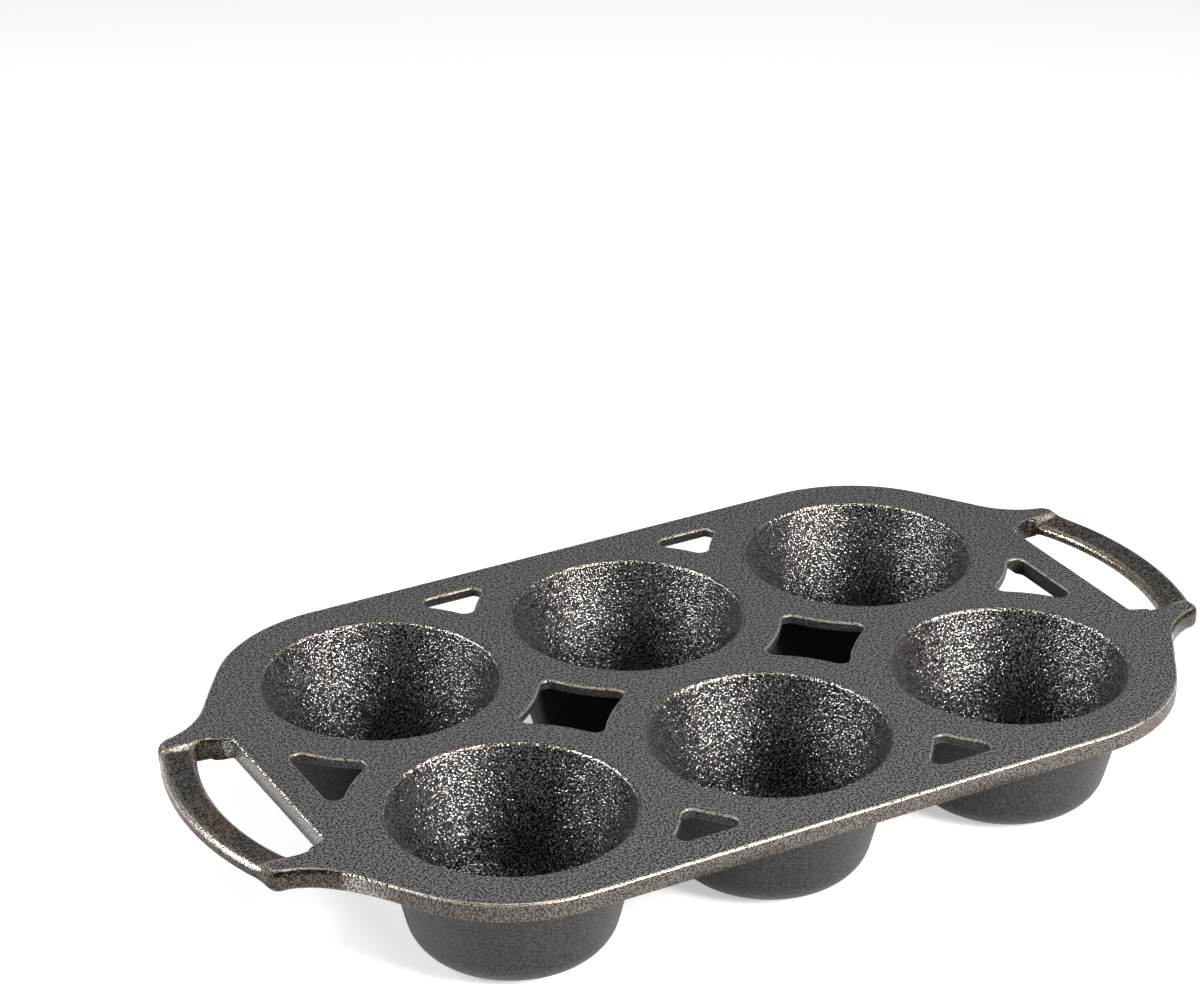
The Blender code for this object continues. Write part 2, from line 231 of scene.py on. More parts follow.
# %% [markdown]
# ## The piercings
# Holes between the cups save iron and let hot air rise. Each follows the rings of its neighbours,
# with rounded corners. The ones at the edges are closed by a straight side. One function draws them
# all, so that they change together if a ring does.

# %% The piercings
RING = 0.0565               # radius of the ring of plate that the piercings leave round a cup
PIERCING_CORNER = 0.0035    # corner radius of the piercings
SIDE_BORDER = 0.0124        # from a side piercing to the long edge
END_BAR = 0.01135           # from an end piercing to the finger slot
SIDE_EDGE = LAST_Y + ROUND_END - SIDE_BORDER
END_EDGE = SLOT_X - END_BAR


def piercing(cups, normal=None, distance=0.0):
    """A hole between the rings of cups, given against the clock; a straight side comes last."""
    reach = RING + PIERCING_CORNER
    sides = [(Vector(cup), Vector(cup)) for cup in cups]
    if normal:
        # cups mirrored behind the straight side put its corners' centres one radius inside it
        out = Vector(normal)
        images = [c + 2 * (distance - PIERCING_CORNER - c.dot(out)) * out
                  for c in (sides[-1][0], sides[0][0])]
        sides.append(tuple(images))
    corners = [meeting_point(this[1], reach, following[0], reach)
               for this, following in zip(sides, sides[1:] + sides[:1])]
    outline = []
    for i, corner in enumerate(corners):
        following = (i + 1) % len(sides)
        ways = [sides[s][0] - corner if s < len(cups) else Vector(normal) for s in (i, following)]
        start = angle_of(ways[0])
        turn = (angle_of(ways[1]) - start) % math.tau
        outline += arc(corner, PIERCING_CORNER, start, start + turn, hollow=True)
        onward = corners[following]
        if following < len(cups):
            cup = Vector(cups[following])
            start = angle_of(corner - cup)
            turn = (start - angle_of(onward - cup)) % math.tau
            outline += arc(cup, RING, start, start - turn)[1:-1]
        else:
            last = Vector(normal) * PIERCING_CORNER
            outline += straight(corner + last, onward + last, -Vector(normal))
    return outline


def all_piercings():
    columns = (-LAST_X, 0.0, LAST_X)
    for left, right in zip(columns, columns[1:]):
        yield piercing([(right, LAST_Y), (left, LAST_Y), (left, -LAST_Y), (right, -LAST_Y)])
        yield piercing([(left, LAST_Y), (right, LAST_Y)], (0, 1), SIDE_EDGE)
        yield piercing([(right, -LAST_Y), (left, -LAST_Y)], (0, -1), SIDE_EDGE)
    yield piercing([(LAST_X, LAST_Y), (LAST_X, -LAST_Y)], (1, 0), END_EDGE)
    yield piercing([(-LAST_X, -LAST_Y), (-LAST_X, LAST_Y)], (-1, 0), END_EDGE)


piercings = list(all_piercings())
print(len(piercings), "piercings with", sum(len(outline) for outline in piercings), "points")

# %% [markdown]
# ## Rings
# Every hole and the outer edge have an upright side, which in the mould is sand that the iron
# stands against. A mesh could be extruded from a filled plan, and all its edges bevelled. A ring of
# vertices that is extruded step by step is surer: its faces stay in order on the whole way down,
# which a bevel round a face with sixteen holes wouldn't manage.

# %% Rings of vertices
def ring_edges(ring):
    return [edge for this, following in zip(ring, ring[1:] + ring[:1])
            for edge in this.link_edges if edge.other_vert(this) is following]


def new_ring(shape, points):
    ring = [shape.verts.new(point) for point in points]
    for this, following in zip(ring, ring[1:] + ring[:1]):
        shape.edges.new((this, following))
    return ring


def extrude_ring(shape, ring, points):
    """Extrudes a closed ring and moves the new ring's vertices to their points."""
    made = bmesh.ops.extrude_edge_only(shape, edges=ring_edges(ring))["geom"]
    fresh = {item for item in made if isinstance(item, bmesh.types.BMVert)}
    new = [next(e.other_vert(v) for e in v.link_edges if e.other_vert(v) in fresh) for v in ring]
    for vertex, point in zip(new, points):
        vertex.co = point
    return new


outlines = [outer_edge, right_slot, left_slot] + piercings
print(len(outlines), "rings, of up to", max(len(outline) for outline in outlines), "points")

# %% [markdown]
# ## Walls round an outline
# A wall starts as a ring of points on the top face. Moved down in steps, the ring makes the rounded
# upper edge, the upright side and the rounded lower edge. Each point has its own section, so that
# the roundings can change along the wall, which a profile swept along a curve doesn't allow.

# %% Walls
END = 0.0084                # depth of the deck's ends and of the handles' arms
STEPS = 5                   # facets of a rounded edge
MARGIN = 0.0004             # flat strip beside each rounding, which keeps the flat faces flat


def section(upper, lower):
    """Steps from the top face over the side to the bottom face, as (out, down) pairs.

    Both roundings are given as (width, height).
    """
    quarter = [math.pi / 2 * i / STEPS for i in range(STEPS + 1)]
    steps = [(-upper[0] - MARGIN, 0.0)]
    steps += [(upper[0] * (math.sin(a) - 1), upper[1] * (1 - math.cos(a))) for a in quarter]
    steps += [(lower[0] * (math.cos(a) - 1), END - lower[1] * (1 - math.sin(a))) for a in quarter]
    return steps + [(-lower[0] - MARGIN, END)]


def wall(shape, outline, rounding):
    """Builds a wall down from the top face and returns its first and last ring."""
    sections = [section(*rounding(point)) for point, out in outline]
    levels = []
    for level in zip(*sections):
        places = [p + n * out for (p, n), (out, down) in zip(outline, level)]
        levels.append([(p.x, p.y, TOP - down) for p, (out, down) in zip(places, level)])
    first = ring = new_ring(shape, levels[0])
    for level in levels[1:]:
        ring = extrude_ring(shape, ring, level)
    return first, ring


print("a wall has", 2 * (STEPS + 1) + 2, "rings from its top face to its bottom face")

# %% [markdown]
# ## How round each edge is
# The deck's edge is fairly crisp. The flares, noses and bars, which are held, are much rounder, and
# the holes are only broken at their edges. A Bevel modifier would round them all alike, so a
# function tells the rounding at each point instead, and the change from one to the other is smooth.

# %% The roundings
# Upper and lower roundings, as (width, height) pairs. What is added at the deck's ends, where the
# pan is held, and at a bar's outer and inner side, is given apart.
EDGE_UPPER, EDGE_LOWER = (0.0010, 0.0010), (0.0008, 0.0008)
END_LOWER = (0.0009, 0.0012)
HELD_UPPER, HELD_LOWER = (0.0014, 0.0016), (0.0009, 0.0008)
BAR_UPPER, BAR_LOWER = (0.0031, 0.0026), (-0.0008, -0.0008)
SLOT_UPPER, SLOT_LOWER = (0.0008, 0.0008), (0.0006, 0.0006)
GRIP_UPPER, GRIP_LOWER = (0.0022, 0.0032), (0.0010, 0.0026)
PIERCING_UPPER, PIERCING_LOWER = (0.0009, 0.0009), (0.0007, 0.0020)
# The distances from the pan's middle between which they are added, along it and across it.
END_ALONG = (0.140, 0.157)
HELD_ALONG = (SLOT_X - 0.006, SLOT_X + 0.020)
BAR_ACROSS = (0.046, 0.038)
GRIP_ALONG = (SLOT_X + 0.0105, SLOT_X + 0.0145)


def smooth(start, end, value):
    """Rises gently from 0 at start to 1 at end."""
    share = min(max((value - start) / (end - start), 0.0), 1.0)
    return share * share * (3 - 2 * share)


def added(plain, *more):
    """A rounding with shares of others added to it."""
    width, height = plain
    for share, (wider, higher) in more:
        width += wider * share
        height += higher * share
    return width, height


def edge_rounding(point):
    """The upper and the lower rounding at a point of the outer edge."""
    x, y = abs(point.x), abs(point.y)
    end = smooth(*END_ALONG, x)
    held = smooth(*HELD_ALONG, x)
    bar = smooth(*BAR_ACROSS, y) if x > SLOT_X else 0.0
    return (added(EDGE_UPPER, (held, HELD_UPPER), (bar, BAR_UPPER)),
            added(EDGE_LOWER, (end, END_LOWER), (held, HELD_LOWER), (bar, BAR_LOWER)))


def slot_rounding(point):
    """The same for a point of a finger slot."""
    grip = smooth(*GRIP_ALONG, abs(point.x))
    return added(SLOT_UPPER, (grip, GRIP_UPPER)), added(SLOT_LOWER, (grip, GRIP_LOWER))


def piercing_rounding(point):
    """The same for a piercing, where it is even all round."""
    return PIERCING_UPPER, PIERCING_LOWER


roundings = [edge_rounding, slot_rounding, slot_rounding] + [piercing_rounding] * len(piercings)
upper, lower = edge_rounding(Vector((BAR_REACH, 0.0)))
print("a bar's outside is rounded by", [round(value, 4) for value in upper + lower])

# %% [markdown]
# ## The slab
# All the walls are built on one slab of even depth, with the cups' seats left open. The slab is
# filled above and below, and only then given its real depth at each place: a fill needs its edges
# in one plane, and a slab's upper and lower edges are.

# %% The slab with its walls
ROUND = 96                  # points round a cup
SEAT_TOP = 0.0440           # radius where the deck meets a cup, on the top face
SEAT_LOW = 0.0470           # the same, on the underside


def circle(shape, place, radius, height):
    matrix = Matrix.Translation((place.x, place.y, height))
    made = bmesh.ops.create_circle(shape, cap_ends=False, segments=ROUND, radius=radius,
                                   matrix=matrix)
    return list({edge for vertex in made["verts"] for edge in vertex.link_edges})


def make_slab():
    shape = bmesh.new()
    upper, lower = [], []
    for outline, rounding in zip(outlines, roundings):
        first, last = wall(shape, outline, rounding)
        upper += ring_edges(first)
        lower += ring_edges(last)
    for place in PLACES.values():
        high = circle(shape, place, SEAT_TOP, TOP)
        low = circle(shape, place, SEAT_LOW, TOP - END)
        bmesh.ops.bridge_loops(shape, edges=high + low)
        upper += high
        lower += low
    for edges in (upper, lower):
        bmesh.ops.triangle_fill(shape, use_beauty=True, use_dissolve=False, edges=edges)
    bmesh.ops.recalc_face_normals(shape, faces=shape.faces)
    return shape


slab = make_slab()
print("slab:", len(slab.faces), "faces, closed:", all(edge.is_manifold for edge in slab.edges))

# %% [markdown]
# ## Cuts for the bars
# The bars lie lower than the deck, behind a small ridge. The fill left long flat triangles there,
# which can't bend. Subdividing them would add points in the wrong places, so planes along the ridge
# and across the bars cut them just where the step will be.

# %% Cutting the slab at the bars
TOUCHING = 1e-6             # a cut this close to a point goes through it
BAR_START = SLOT_X + 0.006  # the bars and their steps lie beyond this
RIDGE = (Vector((0.1740, 0.0419)), Vector((0.1870, 0.0429)))  # from the slot's corner to the nose
RIDGE_WAY = (RIDGE[1] - RIDGE[0]).normalized()
RIDGE_DOWN = Vector((RIDGE_WAY.y, -RIDGE_WAY.x))  # across the ridge, towards the bar's middle
STEP_WIDTH = 0.0036         # the slope from the deck's level down to a bar's
STEP_CUTS = 9               # how many cuts lie on that slope
RIDGE_CUTS = 12             # how many are made on each side of the ridge
BAR_GRID = 0.0027           # spacing of the cuts along a bar
BAR_CUTS = 13               # how many of them lie on each side of its middle


def cut(shape, faces, planes):
    """Cuts some faces with planes, each given as (point, normal)."""
    edges = {edge for face in faces for edge in face.edges}
    parts = edges | {vertex for face in faces for vertex in face.verts}
    geometry = faces + list(parts)
    for point, normal in planes:
        geometry = bmesh.ops.bisect_plane(shape, geom=geometry, dist=TOUCHING, plane_co=point,
                                          plane_no=normal)["geom"]


def bar_planes(end):
    for side in (-1, 1):
        for i in range(-RIDGE_CUTS, RIDGE_CUTS):
            point = RIDGE[0] + RIDGE_DOWN * (STEP_WIDTH * i / STEP_CUTS)
            normal = (end * RIDGE_DOWN.x, side * RIDGE_DOWN.y, 0)
            yield (end * point.x, side * point.y, 0), normal
    for i in range(-BAR_CUTS, BAR_CUTS + 1):
        yield (0, i * BAR_GRID, 0), (0, 1, 0)


for end in (-1, 1):
    bar_faces = [face for face in slab.faces if end * face.calc_center_median().x > BAR_START]
    cut(slab, bar_faces, bar_planes(end))
print("slab with the bars cut:", len(slab.faces), "faces")

# %% [markdown]
# ## Cuts for the hollow underneath
# Under the deck the casting is hollowed inside its border, which saves iron and keeps it stiff. The
# slope of the hollow needs edges along its foot and its top: planes beside the straight sides, and
# planes that touch the round corners. An even grid of cuts between them keeps the faces small.

# %% Cutting the slab under the plate
FLAT = 1e-5                 # how far a point of a level face may lie off it
BORDER = 0.0070             # width of the border that hangs down round the plate
END_LEDGE = 0.0010          # how far the deep ends reach in past the end piercings
RECESS = ROUND_END - BORDER  # radius of the hollow's corners about the outer cups
RECESS_END = END_EDGE - END_LEDGE
RAMP = 0.0025               # width of the slope between the border and the plate
RAMP_CUTS = 4               # how many strips it is cut into
GRID = 0.0030               # spacing of the cuts under the plate
GRID_X, GRID_Y = 50, 35     # how many of them lie on each side of the middle


def underside(shape):
    return [face for face in shape.faces
            if all(vertex.co.z < TOP - END + FLAT for vertex in face.verts)]


def underside_planes():
    for side in (-1, 1):
        for i in range(RAMP_CUTS + 1):
            yield (side * (RECESS_END - RAMP * i / RAMP_CUTS), 0, 0), (1, 0, 0)
            yield (0, side * (LAST_Y + RECESS - RAMP * i / RAMP_CUTS), 0), (0, 1, 0)
    for i in range(-GRID_X, GRID_X + 1):
        yield (i * GRID, 0, 0), (1, 0, 0)
    for i in range(-GRID_Y, GRID_Y + 1):
        yield (0, i * GRID, 0), (0, 1, 0)


def corner_planes(end, side):
    """Planes every 10 degrees that touch the slope of the hollow at one of its round corners."""
    for degrees in range(5, 90, 10):
        way = ray(math.radians(degrees))
        for i in range(RAMP_CUTS + 1):
            point = Vector((LAST_X, LAST_Y)) + way * (RECESS - RAMP * i / RAMP_CUTS)
            yield (end * point.x, side * point.y, 0), (end * way.x, side * way.y, 0)


cut(slab, underside(slab), underside_planes())
for end, side in [(1, 1), (1, -1), (-1, 1), (-1, -1)]:
    middles = [(face, face.calc_center_median()) for face in underside(slab)]
    near = [face for face, middle in middles
            if end * middle.x > LAST_X and side * middle.y > LAST_Y]
    cut(slab, near, corner_planes(end, side))
print("slab after all cuts:", len(slab.faces), "faces")

# %% [markdown]
# ## The real depths
# A casting is no thicker than it needs to be: thin plate between the cups, a deeper border, and
# bars that sit lower. Each of these could be a solid of its own, joined by booleans. Moving every
# point of the slab up or down by where it lies in the plan keeps it one skin, with soft slopes.

# %% Giving the slab its depths
KEPT = 0.0014               # the uppermost part of every wall keeps its shape
PLATE = 0.0036              # thickness of the deck between the cups
LIP = 0.0068                # depth of the turned-down border along the long sides
DEEPENING = (0.157, 0.167)  # between these distances along the pan it takes on the ends' depth
ARM_SLOPE = 0.0006          # how much shallower an arm is outside than beside the slot
ARM_ACROSS = (0.001, 0.005)  # the distances from the slot between which it gets so
ARM_TIP = (0.178, 0.188)    # the distances along the pan between which that doubles
BAR_LOW = 0.0063            # how far the bar's underside lies below the deck's top
BAR_DROP_IN = 0.0020        # how far the bar's top lies below it, beside the slot
BAR_DROP_OUT = 0.0003       # the same, on the outside
STEP_START = -STEP_WIDTH / STEP_CUTS  # the slope starts just before the ridge
LEAD = STEP_WIDTH * 4 / 3   # how much earlier the underside's slope starts, outside the bar
LEAD_ALONG = (0.1800, 0.1860)  # the distances along the pan between which this sets in


def inside_recess(x, y):
    """Distance inside the hollow's outline; negative on the border."""
    beyond = Vector((max(x - LAST_X, 0), max(y - LAST_Y, 0)))
    return min(RECESS - beyond.length, RECESS_END - x)


def depth_at(x, y):
    """How far the underside lies below the deck's top: arms and ends, border, or plate."""
    outward = y - SLOT_HALF - (x - SLOT_X) * math.tan(SLOT_SPLAY)
    end = END - ARM_SLOPE * smooth(*ARM_ACROSS, outward) * (1 + smooth(*ARM_TIP, x))
    border = LIP + (end - LIP) * smooth(*DEEPENING, x)
    return border + (PLATE - border) * smooth(0.0, RAMP, inside_recess(x, y))


def bar_share(x, y, down):
    """0 on the deck and the arms, 1 on the bar; the underside changes over a longer way."""
    if x < BAR_START:
        return 0.0
    past = RIDGE_DOWN.dot(Vector((x, y)) - RIDGE[0])
    above = smooth(STEP_START, STEP_WIDTH, past)
    lead = LEAD * smooth(*LEAD_ALONG, x)
    return above + (smooth(STEP_START - lead, STEP_WIDTH, past) - above) * down / END


def settle(place):
    """The height at which a point of the even slab ends up."""
    x, y, down = abs(place.x), abs(place.y), TOP - place.z
    spare = (depth_at(x, y) - KEPT) / (END - KEPT)
    plain = down if down < KEPT else KEPT + (down - KEPT) * spare
    share = bar_share(x, y, down)
    if share > 0:
        inner = INNER_X + math.sqrt(INNER_BOW ** 2 - y ** 2)
        outer = OUTER_X + math.sqrt(OUTER_BOW ** 2 - y ** 2)
        across = (x - inner) / (outer - inner)
        drop = BAR_DROP_IN + (BAR_DROP_OUT - BAR_DROP_IN) * across
        plain += share * (drop + down * (BAR_LOW - drop) / END - plain)
    return TOP - plain


for vertex in slab.verts:
    vertex.co.z = settle(vertex.co)
print("slab settled between", round(min(v.co.z for v in slab.verts), 4), "and", round(TOP, 4))

# %% [markdown]
# ## Pieces
# The real casting has no joints, but the frame names the deck, the cups and the handles, so the
# skin is parted there too. Building each by itself would leave steps. Here one slab is cut, and the
# parts meet on flat strips and share their points, so that no seam shows.

# %% Parting the handles from the deck
SHARP = math.radians(38)    # edges that turn more than this stay crisp
PART_X = SLOT_X + 0.00015   # just past the slots' straight sides, so that the arms are cut across


def add_piece(shape, name, node):
    bmesh.ops.recalc_face_normals(shape, faces=shape.faces)
    mesh = bpy.data.meshes.new(name)
    shape.to_mesh(mesh)
    shape.free()
    mesh.shade_smooth()
    mesh.set_sharp_from_angle(angle=SHARP)
    piece = bpy.data.objects.new(name, mesh)
    bpy.context.scene.collection.objects.link(piece)
    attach(piece, "root")
    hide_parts(node)
    print(name, "has", len(mesh.polygons), "faces")
    return piece


def part_of(shape, planes):
    """A closed copy of what lies behind some planes, each given as (point, normal)."""
    copy = shape.copy()
    for point, normal in planes:
        geometry = copy.verts[:] + copy.edges[:] + copy.faces[:]
        bmesh.ops.bisect_plane(copy, geom=geometry, dist=TOUCHING, plane_co=point, plane_no=normal,
                               clear_outer=True)
        rim = [edge for edge in copy.edges if edge.is_boundary]
        bmesh.ops.holes_fill(copy, edges=rim, sides=0)
    return copy


deck = add_piece(part_of(slab, [((PART_X, 0, 0), (1, 0, 0)), ((-PART_X, 0, 0), (-1, 0, 0))]),
                 "deck_casting", "deck")
handle_right = add_piece(part_of(slab, [((PART_X, 0, 0), (-1, 0, 0))]),
                         "handle_right_casting", "handle_right")
handle_left = add_piece(part_of(slab, [((-PART_X, 0, 0), (1, 0, 0))]),
                        "handle_left_casting", "handle_left")
slab.free()

# %% [markdown]
# ## The cups
# A cup leans out so that the muffin and the sand let go, and its corners are round so that the iron
# flows. It is a turned shape, so a spin makes it more evenly than a tapered cylinder with bevels
# would. Its half section runs from the middle of the floor up the wall, over the lip, down through
# the metal and along the outside to the foot; spinning it closes the cup.

# %% The cups
MOUTH = 0.0423              # radius of a cup's mouth, where its wall would meet the deck's top
WALL = 0.0035               # thickness of a cup's wall, measured level
DRAFT = math.radians(13.5)  # how far a cup's wall leans out
FLOOR = 0.0044              # thickness of a cup's floor
FLOOR_CORNER = 0.0095       # inside radius where the wall turns into the floor
FOOT_CORNER = 0.0138        # outside radius where the wall turns into the foot
LIP_ROUND = 0.0012          # radius of the lip, between the wall and the deck's top
FILLET = 0.0022             # between a cup's outside and the underside of the deck
CORNER_STEPS = 8            # facets of a corner at the floor or the foot


def bend(centre, radius, start, end, steps):
    angles = [start + (end - start) * i / steps for i in range(steps + 1)]
    return [(centre[0] + radius * math.cos(a), centre[1] + radius * math.sin(a)) for a in angles]


def foot_bend(wall_x, floor_z, radius):
    """The rounding between a leaning wall and a level floor, from the floor up."""
    x = wall_x - radius * (1 / math.cos(DRAFT) - math.tan(DRAFT))
    return bend((x, floor_z + radius), radius, -math.pi / 2, -DRAFT, CORNER_STEPS)


def cup_section():
    """The half section as (x, z) pairs, from the middle of the floor to that of the foot."""
    lean = math.tan(DRAFT)
    under = TOP - PLATE
    lip = (MOUTH - LIP_ROUND * lean + LIP_ROUND / math.cos(DRAFT), TOP - LIP_ROUND)
    outside_x = MOUTH + WALL - (PLATE + FILLET) * lean
    fillet = (outside_x + FILLET / math.cos(DRAFT), under - FILLET)
    inside = foot_bend(MOUTH - (TOP - FLOOR) * lean, FLOOR, FLOOR_CORNER)
    inside += bend(lip, LIP_ROUND, math.pi - DRAFT, math.pi / 2, STEPS)
    outside = [(SEAT_TOP, TOP), (SEAT_LOW, under)]
    outside += bend(fillet, FILLET, math.pi / 2, math.pi - DRAFT, STEPS)
    outside += reversed(foot_bend(MOUTH + WALL - TOP * lean, 0.0, FOOT_CORNER))
    return [(0.0, FLOOR)] + inside + outside + [(0.0, 0.0)]


def make_cup(place):
    shape = bmesh.new()
    knots = [shape.verts.new((x, 0, z)) for x, z in cup_section()]
    edges = [shape.edges.new(pair) for pair in zip(knots, knots[1:])]
    bmesh.ops.spin(shape, geom=knots + edges, axis=(0, 0, 1), cent=(0, 0, 0), angle=math.tau,
                   steps=ROUND, use_merge=True)
    bmesh.ops.remove_doubles(shape, verts=shape.verts, dist=TOUCHING)
    bmesh.ops.translate(shape, vec=(place.x, place.y, 0), verts=shape.verts)
    return shape


cups = [add_piece(make_cup(PLACES[cup]), cup + "_casting", cup) for cup in CUPS]

# %% [markdown]
# ## Shader maths
# A finish is worked out from where a point lies on the pan. Wiring Math nodes one by one would hide
# the idea behind it. This small class lets sockets be added and multiplied like numbers, so that
# the recipe reads as a formula, and each operation adds its node.

# %% Sockets that work like numbers
class Socket:
    """An output of a shader node."""

    def __init__(self, finish, output):
        self.finish = finish
        self.output = output

    def maths(self, operation, *values):
        return self.finish.node("ShaderNodeMath", {"operation": operation}, dict(enumerate(values)))

    def __add__(self, other):
        return self.maths("ADD", self, other)

    def __sub__(self, other):
        return self.maths("SUBTRACT", self, other)

    def __rsub__(self, other):
        return self.maths("SUBTRACT", other, self)

    def __mul__(self, other):
        return self.maths("MULTIPLY", self, other)

    def __pow__(self, other):
        return self.maths("POWER", self, other)

    def __rpow__(self, other):
        return self.maths("POWER", other, self)

    __radd__ = __add__
    __rmul__ = __mul__

    def size(self):
        return self.maths("ABSOLUTE", self)

    def at_least(self, other):
        return self.maths("MAXIMUM", self, other)

    def at_most(self, other):
        return self.maths("MINIMUM", self, other)

    def rise(self, start, end):
        """0 where the value is start or less, 1 where it is end or more, and smooth between."""
        settings = {"interpolation_type": "SMOOTHSTEP"}
        inputs = {"Value": self, "From Min": start, "From Max": end}
        return self.finish.node("ShaderNodeMapRange", settings, inputs)


print("reflected forms:", [name for name in vars(Socket) if name.startswith("__r")])

# %% [markdown]
# ## Finishes
# A finish is a material or a world with its node tree. One method adds any node, so that the rest
# of the lesson never wires by hand, and a few short ones name what is used most: an axis of a
# vector, a noise of a given grain size and a blend of two colours.

# %% A finish and its nodes
class Finish:
    """A node tree and the means to wire it."""

    def __init__(self, tree, end):
        self.tree = tree
        self.tree.nodes.clear()
        self.end = self.tree.nodes.new(end)

    def node(self, kind, settings=None, inputs=None, output=0):
        """Adds a node: its settings first, then the values or links of its sockets."""
        made = self.tree.nodes.new(kind)
        for name, setting in (settings or {}).items():
            setattr(made, name, setting)
        for key, value in (inputs or {}).items():
            self.feed(made.inputs[key], value)
        return Socket(self, made.outputs[output])

    def feed(self, socket, value):
        if isinstance(value, Socket):
            self.tree.links.new(value.output, socket)
        else:
            socket.default_value = (*value, 1.0) if socket.type == "RGBA" else value

    def axis(self, vector, letter):
        return self.node("ShaderNodeSeparateXYZ", inputs={0: vector}, output=letter)

    def noise(self, place, size, detail, roughness=0.5):
        """Noise between 0 and 1 whose grains are about the given size in metres."""
        inputs = {"Vector": place, "Scale": 1 / size, "Detail": detail, "Roughness": roughness}
        return self.node("ShaderNodeTexNoise", inputs=inputs)

    def blend(self, share, first, second):
        """A colour between two others; a Mix node takes colours at its sockets 6 and 7."""
        inputs = {0: share, 6: first, 7: second}
        return self.node("ShaderNodeMix", {"data_type": "RGBA"}, inputs, output=2)

    def finish_with(self, shader):
        self.tree.links.new(shader.output, self.end.inputs["Surface"])


def new_finish(name):
    material = bpy.data.materials.new(name)
    material.use_nodes = True
    return material, Finish(material.node_tree, "ShaderNodeOutputMaterial")


print("materials so far:", [material.name for material in bpy.data.materials])

# %% [markdown]
# ## Where the finish changes
# Hands, a dressing wheel and oil leave each part of the casting with its own look, and two masks
# mark
# where shade is painted: the cups' floors and the cups' outsides under the deck. Masks painted by
# hand could mark the parts, but would stop at each piece. Here a mask is a formula of where a point
# lies and which way its surface faces, so that it runs on from piece to piece without a seam.

# %% The masks of the casting
class Masks:
    """Each mask is 1 on its part of the casting and 0 away from it."""

    def __init__(self, iron, place):
        facing = iron.axis(iron.node("ShaderNodeNewGeometry", output="Normal"), "Z")
        side = iron.axis(place, "X").size()
        back = iron.axis(place, "Y").size()
        below = TOP - iron.axis(place, "Z")
        across = side.at_most((side - LAST_X).size())
        radius = (across ** 2 + (back - LAST_Y) ** 2) ** 0.5
        # the insides of the cups, their level floors, which are made darker as painted shade, and
        # the level top of deck and handles
        self.cup = facing.rise(0.04, 0.16) * (1 - radius.rise(MOUTH + 0.0003, MOUTH + 0.0014))
        # painted shade: the level floor at the bottom of each cup
        self.floor_shade = self.cup * below.rise(0.034, 0.045) * facing.rise(0.80, 0.97)
        self.top = facing.rise(0.75, 0.97) * (1 - self.cup)
        # the bars, the ends and handles but for their level tops, and what lies beyond the slots'
        # straight sides
        self.bar = side.rise(SLOT_X + 0.010, SLOT_X + 0.018) * (1 - back.rise(0.0405, 0.0430))
        self.bare = side.rise(SLOT_X - 0.010, SLOT_X - 0.001) * (1 - facing.rise(0.75, 0.99))
        self.beside = side.rise(SLOT_X + 0.002, SLOT_X + 0.004)
        # the bars' rounded upper edges, and their inner sides, which fingers rub
        self.held = self.bar * facing.rise(0.30, 0.50) * (1 - facing.rise(0.82, 0.94))
        reach = ((side - INNER_X) ** 2 + back ** 2) ** 0.5
        self.grip = self.bare * self.bar * (1 - reach.rise(INNER_BOW + 0.002, INNER_BOW + 0.004))
        # the outer edge of the deck, and every upper edge that is worn bright
        beyond_x = (side - LAST_X - CORNER_OUT).at_least(0.0)
        beyond_y = (back - LAST_Y).at_least(0.0)
        beyond = (beyond_x ** 2 + beyond_y ** 2) ** 0.5
        self.rim = beyond.rise(ROUND_END - 0.0030, ROUND_END - 0.0020)
        edge = facing.rise(0.18, 0.50) * (1 - facing.rise(0.92, 0.99))
        edge = edge * (1 - below.rise(0.0006, 0.0015))
        self.worn = edge * (1 - self.bare * self.beside) * (0.45 + 0.55 * self.rim)
        # the outsides of the cups and the piercings' sides, where they face each other under the
        # deck: painted shade, made near black
        between = across.rise(0.018, 0.040) * (1 - side.rise(LAST_X, LAST_X + 0.010))
        inner = (1 - back.rise(0.040, 0.052)) * (1 - 0.4 * side.rise(0.115, 0.135))
        low = (1 - facing.rise(-0.10, 0.10)) * below.rise(0.002, 0.006)
        # painted shade: where the cups' outsides face each other under the deck
        self.in_shade = low * inner.at_least(0.5 * between)
        # the outer ends, where the oil has turned brown
        self.browned = side.rise(0.145, 0.175)


print("the handles' masks start", round(SLOT_X, 4), "from the middle, the cups' end at", MOUTH)

# %% [markdown]
# ## The iron
# Sand leaves cast iron with a fine skin of grains. The top of the deck has been dressed and is dull
# and even. The cups keep a coarser skin, and oil baked onto it makes it shine; their floors are
# made darker as painted shade. Upper edges are worn bright and the handles are rubbed bare where
# they are held. Where the cups' outsides face each other under the deck, a near-black sheet is
# painted shade.
# A picture could be wrapped round the pan, but would stretch in the cups. Noise in three dimensions
# doesn't, and one recipe covers the whole casting.

# %% The finish of the casting
SPECK = 0.00060             # size of the grains that catch the light
GRAIN = 0.00080             # size of the grains of the sand
LUMP = 0.0060               # size of the broad unevenness
CLOUD = 0.030               # size of the stains


